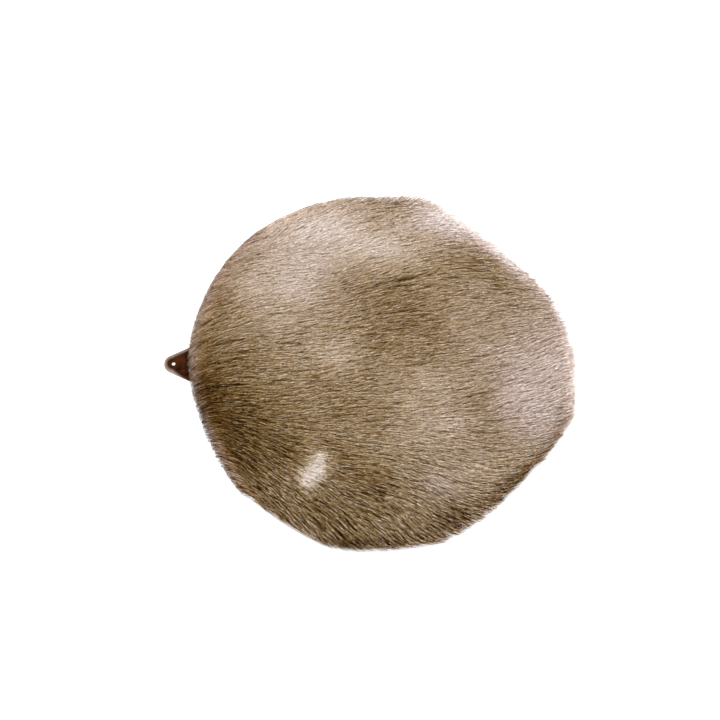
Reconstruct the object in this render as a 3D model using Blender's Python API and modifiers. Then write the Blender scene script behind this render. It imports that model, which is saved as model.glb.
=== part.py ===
"""Round seat pad cut from a reindeer hide, lying hair side up, with a leather hanging tab.

Frame: +X points away from the tab, the way most of the hair lies, +Y across the pad, +Z up.
The origin is the middle of the whole outline, tab included, on the surface that the pad lies on.
Everything is in metres. The hide's own shape is worked out round its own middle, and both pieces
are then moved together so that the outline's middle comes to the origin.
"""

import math
from typing import NamedTuple

import bmesh
import bpy
from mathutils import Vector

# ---------------------------------------------------------------- driving dimensions

HIDE_THICKNESS = 0.016      # skin and lying hair together, at the crown
RIM_STEPS = 120             # segments round the rim
TIP_SIDE_BEARING = 15.0     # degrees; the hair's tips run out over the rim on this side
TIP_SIDE_THINNING = 0.16    # share of the thickness lost at the tip side, and gained opposite

TAB_THICKNESS = 0.0025
TAB_TIP_X = -0.2215         # the round end, from the hide's middle
TAB_MIDLINE_Y = 0.0025
TAB_TIP_RADIUS = 0.0093
TAB_HOLE_RADIUS = 0.0020
TAB_HOLE_INSET = 0.0097     # from the round end to the middle of the hole
TAB_ROOT_X = -0.1950        # where the taper ends and the straight tongue starts
TAB_ROOT_WIDTH = 0.0370
TAB_TONGUE_LENGTH = 0.0200  # the part sewn under the hide
TAB_EDGE_ROUNDING = 0.0006
TAB_ARC_STEPS = 20
HOLE_STEPS = 24

CLEARANCE = 0.0004          # between the tongue's top and the hide's underside
POCKET_MARGIN = 0.0150      # how far the raised underside reaches past the tongue
POCKET_FADE = 0.0280        # how far it takes to come back down to the surface

WELD_DISTANCE = 0.00001


class Bearing(NamedTuple):
    """How far the rim lies from the hide's middle in one direction."""

    degrees: float
    reach: float


class Station(NamedTuple):
    """A ring of the hide's cross-section: its share of the reach, and its height as a share."""

    share: float
    height: float


class Swell(NamedTuple):
    """A soft rise or hollow of the hair's surface."""

    x: float
    y: float
    spread: float
    rise: float


OUTLINE = (
    Bearing(0.0, 0.196),
    Bearing(15.0, 0.193),
    Bearing(30.0, 0.188),
    Bearing(45.0, 0.180),
    Bearing(60.0, 0.183),
    Bearing(75.0, 0.193),
    Bearing(90.0, 0.192),
    Bearing(105.0, 0.195),
    Bearing(120.0, 0.196),
    Bearing(135.0, 0.199),
    Bearing(150.0, 0.199),
    Bearing(165.0, 0.198),
    Bearing(180.0, 0.197),
    Bearing(195.0, 0.193),
    Bearing(210.0, 0.192),
    Bearing(225.0, 0.194),
    Bearing(240.0, 0.194),
    Bearing(255.0, 0.198),
    Bearing(270.0, 0.195),
    Bearing(285.0, 0.195),
    Bearing(300.0, 0.190),
    Bearing(315.0, 0.189),
    Bearing(330.0, 0.197),
    Bearing(345.0, 0.201),
)

TOP_SECTION = (
    Station(0.00, 1.00),
    Station(0.20, 1.00),
    Station(0.38, 0.99),
    Station(0.54, 0.98),
    Station(0.68, 0.96),
    Station(0.79, 0.92),
    Station(0.87, 0.86),
    Station(0.93, 0.76),
    Station(0.97, 0.62),
    Station(0.992, 0.45),
    Station(1.00, 0.29),
)

UNDER_SECTION = (
    Station(0.992, 0.14),
    Station(0.972, 0.04),
    Station(0.945, 0.00),
    Station(0.87, 0.00),
    Station(0.79, 0.00),
    Station(0.68, 0.00),
    Station(0.54, 0.00),
    Station(0.38, 0.00),
    Station(0.20, 0.00),
    Station(0.00, 0.00),
)

SWELLS = (
    Swell(-0.090, 0.080, 0.060, 0.0012),
    Swell(0.020, 0.088, 0.022, -0.0016),
    Swell(0.070, 0.030, 0.055, 0.0010),
    Swell(-0.020, -0.060, 0.045, -0.0012),
    Swell(0.085, -0.105, 0.040, -0.0010),
    Swell(-0.075, -0.105, 0.030, 0.0008),
    Swell(0.130, -0.040, 0.035, 0.0008),
)


# ---------------------------------------------------------------- form of the hide


def cubic_between(before: float, start: float, end: float, after: float, t: float) -> float:
    """Smooth curve through start and end, with the slopes that their neighbours give."""
    slope_start = (end - before) / 2
    slope_end = (after - start) / 2
    return (
        (2 * t**3 - 3 * t**2 + 1) * start
        + (t**3 - 2 * t**2 + t) * slope_start
        + (3 * t**2 - 2 * t**3) * end
        + (t**3 - t**2) * slope_end
    )


def rim_reach(bearing: float) -> float:
    """Distance from the hide's middle to its rim in the direction of bearing, in radians."""
    count = len(OUTLINE)
    place = (math.degrees(bearing) % 360.0) / 360.0 * count
    i = int(place)
    rows = [OUTLINE[(i + k) % count].reach for k in (-1, 0, 1, 2)]
    return cubic_between(*rows, place - i)


def smooth_step(t: float) -> float:
    """0 below 0, 1 above 1, and an even ease between."""
    t = min(max(t, 0.0), 1.0)
    return t * t * (3 - 2 * t)


def pocket_lift(x: float, y: float) -> float:
    """How far the tab's tongue holds the hide off the surface at this place."""
    past_end = x - (TAB_ROOT_X + TAB_TONGUE_LENGTH)
    past_side = abs(y - TAB_MIDLINE_Y) - TAB_ROOT_WIDTH / 2
    outside = math.hypot(max(past_end, 0.0), max(past_side, 0.0))
    share = 1 - smooth_step((outside - POCKET_MARGIN) / POCKET_FADE)
    return share * (TAB_THICKNESS + CLEARANCE)


def surface_relief(x: float, y: float) -> float:
    """Unevenness of the lying hair."""
    return sum(
        swell.rise * math.exp(-((x - swell.x) ** 2 + (y - swell.y) ** 2) / swell.spread**2)
        for swell in SWELLS
    )


def hair_height(share: float, height: float, bearing: float, x: float, y: float) -> float:
    """Height of the hair's surface: fuller on the root side, thinner on the tip side."""
    lean = math.cos(bearing - math.radians(TIP_SIDE_BEARING))
    fullness = 1 - TIP_SIDE_THINNING * lean * share**2
    return height * HIDE_THICKNESS * fullness + height * surface_relief(x, y)


# ---------------------------------------------------------------- helpers


def clear_scene() -> None:
    """Removes every object and collection that the file holds."""
    for old in list(bpy.data.objects):
        bpy.data.objects.remove(old, do_unlink=True)
    for old in list(bpy.data.collections):
        bpy.data.collections.remove(old)


def make_material(name: str, colour: tuple[float, float, float], roughness: float) -> bpy.types.Material:
    """A plain Principled material."""
    material = bpy.data.materials.new(name)
    material.use_nodes = True
    shader = material.node_tree.nodes["Principled BSDF"]
    shader.inputs["Base Color"].default_value = (*colour, 1.0)
    shader.inputs["Roughness"].default_value = roughness
    shader.inputs["Metallic"].default_value = 0.0
    return material


# ---------------------------------------------------------------- pieces


def build_hide(collection: bpy.types.Collection) -> bpy.types.Object:
    """The hide: its cross-section turned through a full circle, then drawn out to its outline."""
    bm = bmesh.new()
    section = [bm.verts.new((row.share, 0.0, row.height)) for row in TOP_SECTION + UNDER_SECTION]
    edges = [bm.edges.new(pair) for pair in zip(section, section[1:])]
    bmesh.ops.spin(
        bm,
        geom=section + edges,
        cent=(0.0, 0.0, 0.0),
        axis=(0.0, 0.0, 1.0),
        angle=math.tau,
        steps=RIM_STEPS,
        use_merge=True,
    )
    bmesh.ops.remove_doubles(bm, verts=bm.verts, dist=WELD_DISTANCE)
    for vert in bm.verts:
        share = math.hypot(vert.co.x, vert.co.y)
        bearing = math.atan2(vert.co.y, vert.co.x)
        reach = share * rim_reach(bearing)
        x = reach * math.cos(bearing)
        y = reach * math.sin(bearing)
        height = hair_height(share, vert.co.z, bearing, x, y)
        vert.co = Vector((x, y, height + pocket_lift(x, y)))
    bmesh.ops.recalc_face_normals(bm, faces=bm.faces)
    mesh = bpy.data.meshes.new("hide")
    bm.to_mesh(mesh)
    bm.free()
    mesh.shade_smooth()
    hide = bpy.data.objects.new("hide", mesh)
    hide.data.materials.append(make_material("reindeer_hair", (0.283, 0.195, 0.122), 0.85))
    collection.objects.link(hide)
    return hide


def tab_outline() -> list[tuple[float, float]]:
    """The tab's edge: a round end, two straight sides that spread, and a square tongue."""
    centre_x = TAB_TIP_X + TAB_TIP_RADIUS
    half = TAB_ROOT_WIDTH / 2
    run = math.hypot(TAB_ROOT_X - centre_x, half)
    tangent = math.atan2(half, TAB_ROOT_X - centre_x) + math.acos(TAB_TIP_RADIUS / run)
    points = [(TAB_ROOT_X + TAB_TONGUE_LENGTH, TAB_MIDLINE_Y + half), (TAB_ROOT_X, TAB_MIDLINE_Y + half)]
    for step in range(TAB_ARC_STEPS + 1):
        angle = tangent + (math.tau - 2 * tangent) * step / TAB_ARC_STEPS
        points.append(
            (
                centre_x + TAB_TIP_RADIUS * math.cos(angle),
                TAB_MIDLINE_Y + TAB_TIP_RADIUS * math.sin(angle),
            )
        )
    points.append((TAB_ROOT_X, TAB_MIDLINE_Y - half))
    points.append((TAB_ROOT_X + TAB_TONGUE_LENGTH, TAB_MIDLINE_Y - half))
    return points


def hole_outline() -> list[tuple[float, float]]:
    """The punched hole."""
    centre_x = TAB_TIP_X + TAB_HOLE_INSET
    return [
        (
            centre_x + TAB_HOLE_RADIUS * math.cos(math.tau * step / HOLE_STEPS),
            TAB_MIDLINE_Y + TAB_HOLE_RADIUS * math.sin(math.tau * step / HOLE_STEPS),
        )
        for step in range(HOLE_STEPS)
    ]


def add_closed_spline(curve: bpy.types.Curve, points: list[tuple[float, float]]) -> None:
    """Adds one closed outline to a flat curve."""
    spline = curve.splines.new("POLY")
    spline.points.add(len(points) - 1)
    for point, (x, y) in zip(spline.points, points):
        point.co = (x, y, 0.0, 1.0)
    spline.use_cyclic_u = True


def build_tab(collection: bpy.types.Collection) -> bpy.types.Object:
    """The leather tab, lying on the surface with its tongue under the hide."""
    curve = bpy.data.curves.new("hanging_tab", "CURVE")
    curve.dimensions = "2D"
    curve.fill_mode = "BOTH"
    curve.extrude = TAB_THICKNESS / 2
    add_closed_spline(curve, tab_outline())
    add_closed_spline(curve, hole_outline())
    tab = bpy.data.objects.new("hanging_tab", curve)
    tab.location.z = TAB_THICKNESS / 2
    curve.materials.append(make_material("tab_leather", (0.047, 0.0123, 0.004), 0.45))
    collection.objects.link(tab)
    weld = tab.modifiers.new("close_caps", "WELD")
    weld.merge_threshold = WELD_DISTANCE
    bevel = tab.modifiers.new("worn_edges", "BEVEL")
    bevel.width = TAB_EDGE_ROUNDING
    bevel.segments = 2
    bevel.limit_method = "ANGLE"
    bevel.angle_limit = math.radians(60)
    return tab


def centre_outline(pieces: list[bpy.types.Object], collection: bpy.types.Collection) -> None:
    """Moves the pieces together so that the middle of their outline is at the origin."""
    bpy.context.view_layer.update()
    corners = [piece.matrix_world @ Vector(corner) for piece in pieces for corner in piece.bound_box]
    middle_x = (min(c.x for c in corners) + max(c.x for c in corners)) / 2
    middle_y = (min(c.y for c in corners) + max(c.y for c in corners)) / 2
    pad = bpy.data.objects.new("seat_pad", None)
    collection.objects.link(pad)
    for piece in pieces:
        piece.parent = pad
    pad.location = (-middle_x, -middle_y, 0.0)


def main() -> None:
    """Builds the pad."""
    clear_scene()
    collection = bpy.data.collections.new("reindeer_hide_seat_pad")
    bpy.context.scene.collection.children.link(collection)
    pieces = [build_hide(collection), build_tab(collection)]
    centre_outline(pieces, collection)


main()
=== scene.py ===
"""Looks of a round reindeer-hide seat pad with a leather hanging tab.

The pad lies hair side up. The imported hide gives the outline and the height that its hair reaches. In its
place stand the tanned skin, the short under-hair and the long guard hair, combed along the coat's lie. The
packed leather tab stays as it is, with a leather finish and the thread that sews it under the hide.
"""

import logging
import math
from dataclasses import dataclass, field
from enum import Enum

import bmesh
import bpy
import numpy as np
from mathutils import Matrix, Vector, noise
from mathutils.bvhtree import BVHTree


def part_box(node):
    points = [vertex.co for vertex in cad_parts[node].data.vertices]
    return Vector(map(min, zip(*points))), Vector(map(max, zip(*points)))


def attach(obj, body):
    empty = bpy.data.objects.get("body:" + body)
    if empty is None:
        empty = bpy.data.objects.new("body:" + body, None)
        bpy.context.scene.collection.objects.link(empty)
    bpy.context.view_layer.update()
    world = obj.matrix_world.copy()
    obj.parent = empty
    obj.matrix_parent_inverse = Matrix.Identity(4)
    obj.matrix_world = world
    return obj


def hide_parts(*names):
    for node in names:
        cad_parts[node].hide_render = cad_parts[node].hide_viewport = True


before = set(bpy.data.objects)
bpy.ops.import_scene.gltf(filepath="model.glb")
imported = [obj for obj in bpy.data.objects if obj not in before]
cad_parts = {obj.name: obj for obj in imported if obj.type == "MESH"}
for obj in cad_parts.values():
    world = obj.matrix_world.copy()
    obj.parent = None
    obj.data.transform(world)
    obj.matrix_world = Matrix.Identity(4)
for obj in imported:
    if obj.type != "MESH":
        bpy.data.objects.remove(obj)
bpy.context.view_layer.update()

ROOT_BODY = "root"
HIDE_NODE = "hide"
TAB_NODE = "hanging_tab"
PALETTE_MAP = "OFBake"
SEED = 38

log = logging.getLogger("seat_pad")


# ------------------------------------------------------------------------------------------------ finishes


@dataclass(frozen=True)
class HairFinish:
    """Colours of the coat as sRGB steps, from the darkest hair to the palest, in a warm and a cool row."""

    stops: tuple[float, ...] = (0.0, 0.15, 0.32, 0.5, 0.66, 0.82, 1.0)
    warm: tuple[tuple[int, int, int], ...] = (
        (24, 5, 0),
        (65, 33, 0),
        (106, 75, 29),
        (149, 120, 73),
        (185, 160, 121),
        (216, 197, 168),
        (247, 238, 230),
    )
    cool: tuple[tuple[int, int, int], ...] = (
        (20, 9, 5),
        (64, 38, 17),
        (105, 77, 53),
        (147, 121, 100),
        (181, 158, 142),
        (214, 195, 184),
        (247, 238, 235),
    )
    roughness: float = 0.75
    specular: float = 0.02
    crimp_scale: float = 700.0
    crimp_run: float = 0.65
    crimp: float = 0.6


@dataclass(frozen=True)
class SkinFinish:
    """The tanned flesh side, and painted shadow on its cut wall, which is coloured dark for the shadow line
    under the skin's edge; the two are told apart by how level the surface lies.
    """

    pale: tuple[float, float, float] = (0.76, 0.74, 0.71)
    shaded: tuple[float, float, float] = (0.68, 0.65, 0.61)
    stops: tuple[float, float] = (0.3, 0.7)
    # painted shadow: the dark colour of the steep cut wall
    painted_wall_shadow: tuple[float, float, float] = (0.22, 0.17, 0.13)
    level_from: float = 0.9
    wall_shadow_from: float = 0.6
    nap_scale: float = 900.0
    nap_depth: float = 0.0003
    stain_scale: float = 14.0
    roughness: float = 0.92


@dataclass(frozen=True)
class LeatherFinish:
    """Dark red-brown oiled leather with a painted sheen: paler round the tab's rounded tip and flanks,
    standing for light caught on its rounded edges.
    """

    deep: tuple[float, float, float] = (0.010, 0.0024, 0.0004)
    face: tuple[float, float, float] = (0.040, 0.0100, 0.0015)
    # painted sheen: the pale colour of the rounded rim, standing for light caught there
    painted_sheen: tuple[float, float, float] = (0.228, 0.178, 0.148)
    stops: tuple[float, float] = (0.35, 0.65)
    grain_scale: float = 1400.0
    grain_depth: float = 0.00012
    mottle_scale: float = 170.0
    roughness: float = 0.70
    specular: float = 0.03
    tip_radius: float = 0.0093
    flank_degrees: float = 25.5
    sheen_width: float = 0.0046
    sheen_full: float = -0.0003
    shelter: float = 0.25


@dataclass(frozen=True)
class ThreadFinish:
    """Waxed linen thread."""

    light: tuple[float, float, float] = (0.16, 0.10, 0.06)
    dark: tuple[float, float, float] = (0.06, 0.035, 0.02)
    stops: tuple[float, float] = (0.3, 0.7)
    twist_scale: float = 2600.0
    twist_depth: float = 0.0001
    roughness: float = 0.6


def linear(colour: tuple[int, int, int]) -> tuple[float, float, float]:
    """An sRGB colour in steps of 255 as linear light."""
    shares = (step / 255 for step in colour)
    return tuple(c / 12.92 if c <= 0.04045 else ((c + 0.055) / 1.055) ** 2.4 for c in shares)


def new_material(name: str) -> tuple[bpy.types.Material, bpy.types.NodeTree, bpy.types.Node]:
    """Makes an empty Principled material.

    Args:
        name: The material's name.

    Returns:
        The material, its node tree and its Principled node.
    """
    material = bpy.data.materials.new(name)
    material.use_nodes = True
    tree = material.node_tree
    return material, tree, tree.nodes["Principled BSDF"]


def add_node(tree: bpy.types.NodeTree, kind: str, **values: object) -> bpy.types.Node:
    """Adds a node and sets its properties.

    Args:
        tree: The tree that takes the node.
        kind: The node's type name.
        values: Properties of the node.

    Returns:
        The new node.
    """
    node = tree.nodes.new(kind)
    for key, value in values.items():
        setattr(node, key, value)
    return node


def set_inputs(node: bpy.types.Node, values: dict[str, object]) -> None:
    """Sets a node's inputs by name."""
    for name, value in values.items():
        node.inputs[name].default_value = value


def colour_ramp(
    tree: bpy.types.NodeTree,
    factor: bpy.types.NodeSocket,
    stops: tuple[float, ...],
    colours: tuple[tuple[float, float, float], ...],
) -> bpy.types.NodeSocket:
    """Adds a colour ramp.

    Args:
        tree: The tree that takes the ramp.
        factor: The socket that drives it.
        stops: The places of its colours.
        colours: Its colours, one for each place.

    Returns:
        The ramp's colour socket.
    """
    ramp = add_node(tree, "ShaderNodeValToRGB")
    elements = ramp.color_ramp.elements
    while len(elements) < len(stops):
        elements.new(0.5)
    for element, stop, colour in zip(elements, stops, colours):
        element.position = stop
        element.color = (*colour, 1.0)
    tree.links.new(factor, ramp.inputs["Fac"])
    return ramp.outputs["Color"]


def maths(
    tree: bpy.types.NodeTree, operation: str, *values: bpy.types.NodeSocket | float
) -> bpy.types.NodeSocket:
    """Adds a Math node.

    Args:
        tree: The tree that takes the node.
        operation: What it works out.
        values: Its inputs in order, each a socket or a constant.

    Returns:
        The node's value.
    """
    node = add_node(tree, "ShaderNodeMath", operation=operation)
    for slot, value in zip(node.inputs, values):
        if isinstance(value, float):
            slot.default_value = value
        else:
            tree.links.new(value, slot)
    return node.outputs["Value"]


def colour_mix(
    tree: bpy.types.NodeTree,
    factor: bpy.types.NodeSocket,
    start: bpy.types.NodeSocket,
    end: bpy.types.NodeSocket | tuple[float, float, float],
) -> bpy.types.NodeSocket:
    """Adds a mix of two colours.

    Args:
        tree: The tree that takes the mix.
        factor: 0 for the first colour and 1 for the second.
        start: The first colour.
        end: The second colour, a socket or a constant.

    Returns:
        The mixed colour.
    """
    mix = add_node(tree, "ShaderNodeMix", data_type="RGBA")
    tree.links.new(factor, mix.inputs["Factor"])
    tree.links.new(start, mix.inputs["A"])
    if isinstance(end, tuple):
        mix.inputs["B"].default_value = (*end, 1.0)
    else:
        tree.links.new(end, mix.inputs["B"])
    return mix.outputs["Result"]


def object_place(tree: bpy.types.NodeTree) -> bpy.types.NodeSocket:
    """Adds the place in Object coordinates."""
    return add_node(tree, "ShaderNodeTexCoord").outputs["Object"]


def split_vector(tree: bpy.types.NodeTree, vector: bpy.types.NodeSocket) -> bpy.types.bpy_prop_collection:
    """Splits a vector.

    Args:
        tree: The tree that takes the node.
        vector: The vector.

    Returns:
        Its X, Y and Z sockets.
    """
    split = add_node(tree, "ShaderNodeSeparateXYZ")
    tree.links.new(vector, split.inputs["Vector"])
    return split.outputs


def fine_grain_group() -> bpy.types.NodeTree:
    """The shared grain: a soft mottle for colour, and a fine bump, both on Object coordinates.

    Returns:
        The node group, with inputs Scale, Mottle Scale and Depth and outputs Mottle and Normal.
    """
    name = "fine_grain"
    if name in bpy.data.node_groups:
        return bpy.data.node_groups[name]
    group = bpy.data.node_groups.new(name, "ShaderNodeTree")
    for label, value in (("Scale", 1000.0), ("Mottle Scale", 100.0), ("Depth", 0.0002)):
        socket = group.interface.new_socket(label, in_out="INPUT", socket_type="NodeSocketFloat")
        socket.default_value = value
    group.interface.new_socket("Mottle", in_out="OUTPUT", socket_type="NodeSocketFloat")
    group.interface.new_socket("Normal", in_out="OUTPUT", socket_type="NodeSocketVector")
    given = add_node(group, "NodeGroupInput")
    result = add_node(group, "NodeGroupOutput")
    place = object_place(group)
    grain = add_node(group, "ShaderNodeTexNoise")
    set_inputs(grain, {"Detail": 4.0})
    mottle = add_node(group, "ShaderNodeTexNoise")
    set_inputs(mottle, {"Detail": 3.0})
    bump = add_node(group, "ShaderNodeBump")
    set_inputs(bump, {"Strength": 0.6})
    link = group.links.new
    link(place, grain.inputs["Vector"])
    link(place, mottle.inputs["Vector"])
    link(given.outputs["Scale"], grain.inputs["Scale"])
    link(given.outputs["Mottle Scale"], mottle.inputs["Scale"])
    link(grain.outputs["Fac"], bump.inputs["Height"])
    link(given.outputs["Depth"], bump.inputs["Distance"])
    link(mottle.outputs["Fac"], result.inputs["Mottle"])
    link(bump.outputs["Normal"], result.inputs["Normal"])
    return group


def grain_node(tree: bpy.types.NodeTree, scale: float, mottle_scale: float, depth: float) -> bpy.types.Node:
    """Places the shared grain in a material.

    Args:
        tree: The material's tree.
        scale: How fine the grain is.
        mottle_scale: How fine the mottle is.
        depth: The bump's depth in metres.

    Returns:
        The group node.
    """
    node = add_node(tree, "ShaderNodeGroup", node_tree=fine_grain_group())
    set_inputs(node, {"Scale": scale, "Mottle Scale": mottle_scale, "Depth": depth})
    return node


def hair_material(finish: HairFinish) -> bpy.types.Material:
    """Hair, coloured along each strand by the palette map: u runs dark to pale, v warm to cool.

    Args:
        finish: The coat's colours.

    Returns:
        The material.
    """
    material, tree, shader = new_material("reindeer_hair_coat")
    palette = split_vector(tree, add_node(tree, "ShaderNodeUVMap", uv_map=PALETTE_MAP).outputs["UV"])
    stretch = add_node(tree, "ShaderNodeVectorMath", operation="MULTIPLY")
    tree.links.new(object_place(tree), stretch.inputs[0])
    stretch.inputs[1].default_value = (finish.crimp_run, 1.0, 1.0)
    crimp = add_node(tree, "ShaderNodeTexNoise", noise_dimensions="3D")
    tree.links.new(stretch.outputs["Vector"], crimp.inputs["Vector"])
    set_inputs(crimp, {"Scale": finish.crimp_scale, "Detail": 1.0})
    even = maths(tree, "MULTIPLY_ADD", crimp.outputs["Fac"], finish.crimp, -finish.crimp / 2)
    tone = maths(tree, "ADD", even, palette["X"])
    warm = colour_ramp(tree, tone, finish.stops, tuple(linear(c) for c in finish.warm))
    cool = colour_ramp(tree, tone, finish.stops, tuple(linear(c) for c in finish.cool))
    tree.links.new(colour_mix(tree, palette["Y"], warm, cool), shader.inputs["Base Color"])
    set_inputs(shader, {"Roughness": finish.roughness, "Specular IOR Level": finish.specular})
    return material


def skin_material(finish: SkinFinish) -> bpy.types.Material:
    """Suede-like flesh side, and a cut edge coloured dark as painted shadow.

    Args:
        finish: The tanned skin's colours.

    Returns:
        The material.
    """
    material, tree, shader = new_material("tanned_skin")
    grain = grain_node(tree, finish.nap_scale, finish.stain_scale, finish.nap_depth)
    colour = colour_ramp(tree, grain.outputs["Mottle"], finish.stops, (finish.shaded, finish.pale))
    normal = split_vector(tree, add_node(tree, "ShaderNodeNewGeometry").outputs["Normal"])
    # painted shadow: steep faces of the cut wall take the dark wall colour
    wall_shadow_mask = add_node(tree, "ShaderNodeMapRange")
    set_inputs(wall_shadow_mask, {"From Min": finish.level_from, "From Max": finish.wall_shadow_from})
    tree.links.new(maths(tree, "ABSOLUTE", normal["Z"]), wall_shadow_mask.inputs["Value"])
    mixed = colour_mix(tree, wall_shadow_mask.outputs["Result"], colour, finish.painted_wall_shadow)
    tree.links.new(mixed, shader.inputs["Base Color"])
    tree.links.new(grain.outputs["Normal"], shader.inputs["Normal"])
    set_inputs(shader, {"Roughness": finish.roughness})
    return material


def rim_distance(
    tree: bpy.types.NodeTree, middle: tuple[float, float], radius: float, flank: float, shelter: float
) -> bpy.types.NodeSocket:
    """How far inside the tab's outline a point lies, for a round tip that runs out into straight flanks.

    Args:
        tree: The material's tree.
        middle: The middle of the tip's arc.
        radius: The radius of the tip's arc.
        flank: The angle of each flank from the tab's own line, in radians.
        shelter: How fast the rim at negative Y counts as farther off, towards the hide, so the painted sheen
            narrows there.

    Returns:
        The distance in metres.
    """
    place = split_vector(tree, object_place(tree))
    x = maths(tree, "SUBTRACT", place["X"], middle[0])
    across = maths(tree, "SUBTRACT", place["Y"], middle[1])
    y = maths(tree, "ABSOLUTE", across)
    lower = maths(tree, "LESS_THAN", across, 0.0)
    added = maths(tree, "MULTIPLY_ADD", maths(tree, "MULTIPLY", lower, x), shelter, radius)
    along = maths(tree, "MULTIPLY_ADD", x, math.sin(flank), added)
    to_flank = maths(tree, "MULTIPLY_ADD", y, -math.cos(flank), along)
    corner = add_node(tree, "ShaderNodeCombineXYZ")
    tree.links.new(x, corner.inputs["X"])
    tree.links.new(y, corner.inputs["Y"])
    length = add_node(tree, "ShaderNodeVectorMath", operation="LENGTH")
    tree.links.new(corner.outputs["Vector"], length.inputs[0])
    to_tip = maths(tree, "SUBTRACT", radius, length.outputs["Value"])
    choice = add_node(tree, "ShaderNodeMix", data_type="FLOAT")
    tree.links.new(maths(tree, "LESS_THAN", x, 0.0), choice.inputs["Factor"])
    tree.links.new(to_flank, choice.inputs["A"])
    tree.links.new(to_tip, choice.inputs["B"])
    return choice.outputs["Result"]


def leather_material(finish: LeatherFinish, tip_middle: tuple[float, float]) -> bpy.types.Material:
    """Oiled leather with a painted sheen, paler towards its rim.

    Args:
        finish: The leather's colours.
        tip_middle: The middle of the tip's arc.

    Returns:
        The material.
    """
    material, tree, shader = new_material("oiled_tab_leather")
    grain = grain_node(tree, finish.grain_scale, finish.mottle_scale, finish.grain_depth)
    face = colour_ramp(tree, grain.outputs["Mottle"], finish.stops, (finish.deep, finish.face))
    flank = math.radians(finish.flank_degrees)
    inside = rim_distance(tree, tip_middle, finish.tip_radius, flank, finish.shelter)
    # painted sheen: the rim is coloured paler for light caught on the tab's rounded edges
    painted_sheen = add_node(tree, "ShaderNodeMapRange", interpolation_type="SMOOTHSTEP")
    set_inputs(painted_sheen, {"From Min": finish.sheen_width, "From Max": finish.sheen_full})
    tree.links.new(inside, painted_sheen.inputs["Value"])
    tree.links.new(colour_mix(tree, painted_sheen.outputs["Result"], face, finish.painted_sheen), shader.inputs["Base Color"])
    tree.links.new(grain.outputs["Normal"], shader.inputs["Normal"])
    set_inputs(shader, {"Roughness": finish.roughness, "Specular IOR Level": finish.specular})
    return material


def thread_material(finish: ThreadFinish) -> bpy.types.Material:
    """Twisted waxed thread.

    Args:
        finish: The thread's colours.

    Returns:
        The material.
    """
    material, tree, shader = new_material("waxed_thread")
    grain = grain_node(tree, finish.twist_scale, finish.twist_scale / 2, finish.twist_depth)
    colour = colour_ramp(tree, grain.outputs["Mottle"], finish.stops, (finish.dark, finish.light))
    tree.links.new(colour, shader.inputs["Base Color"])
    tree.links.new(grain.outputs["Normal"], shader.inputs["Normal"])
    set_inputs(shader, {"Roughness": finish.roughness})
    return material


def show(name: str, bm: bmesh.types.BMesh, material: bpy.types.Material) -> bpy.types.Object:
    """Turns a worked mesh into an object in the scene, and frees it.

    Args:
        name: The object's name.
        bm: The worked mesh.
        material: The object's material.

    Returns:
        The object.
    """
    mesh = bpy.data.meshes.new(name)
    bm.to_mesh(mesh)
    bm.free()
    mesh.materials.append(material)
    shown = bpy.data.objects.new(name, mesh)
    bpy.context.scene.collection.objects.link(shown)
    return shown


# ----------------------------------------------------------------------------------------- the coat's plan


def ease(t: np.ndarray) -> np.ndarray:
    """0 below 0, 1 above 1, and an even ease between."""
    t = np.clip(t, 0.0, 1.0)
    return t * t * (3 - 2 * t)


def unit(angles: np.ndarray) -> np.ndarray:
    """Unit vectors, a row of x and y each, at angles in radians."""
    return np.stack([np.cos(angles), np.sin(angles)], axis=1)


def round_rim(table: tuple[tuple[float, ...], ...], bearings: np.ndarray, column: int = 1) -> np.ndarray:
    """Values from a table that goes round the rim.

    Args:
        table: Rows that start with a bearing in degrees.
        bearings: Bearings in radians.
        column: Which of a row's values to read.

    Returns:
        One value for each bearing.
    """
    rows = np.array(table)
    return np.interp(np.degrees(bearings), rows[:, 0], rows[:, column], period=360.0)


def soft_noise(points: np.ndarray, size: float, seed: float) -> np.ndarray:
    """Smooth noise from about -1 to 1.

    Args:
        points: Places, a row of x and y each.
        size: The size of its patches in metres.
        seed: Moves the noise to another part of its field.

    Returns:
        One value for each place.
    """
    return np.array([noise.noise(Vector((x / size, y / size, seed))) for x, y in points])


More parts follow.
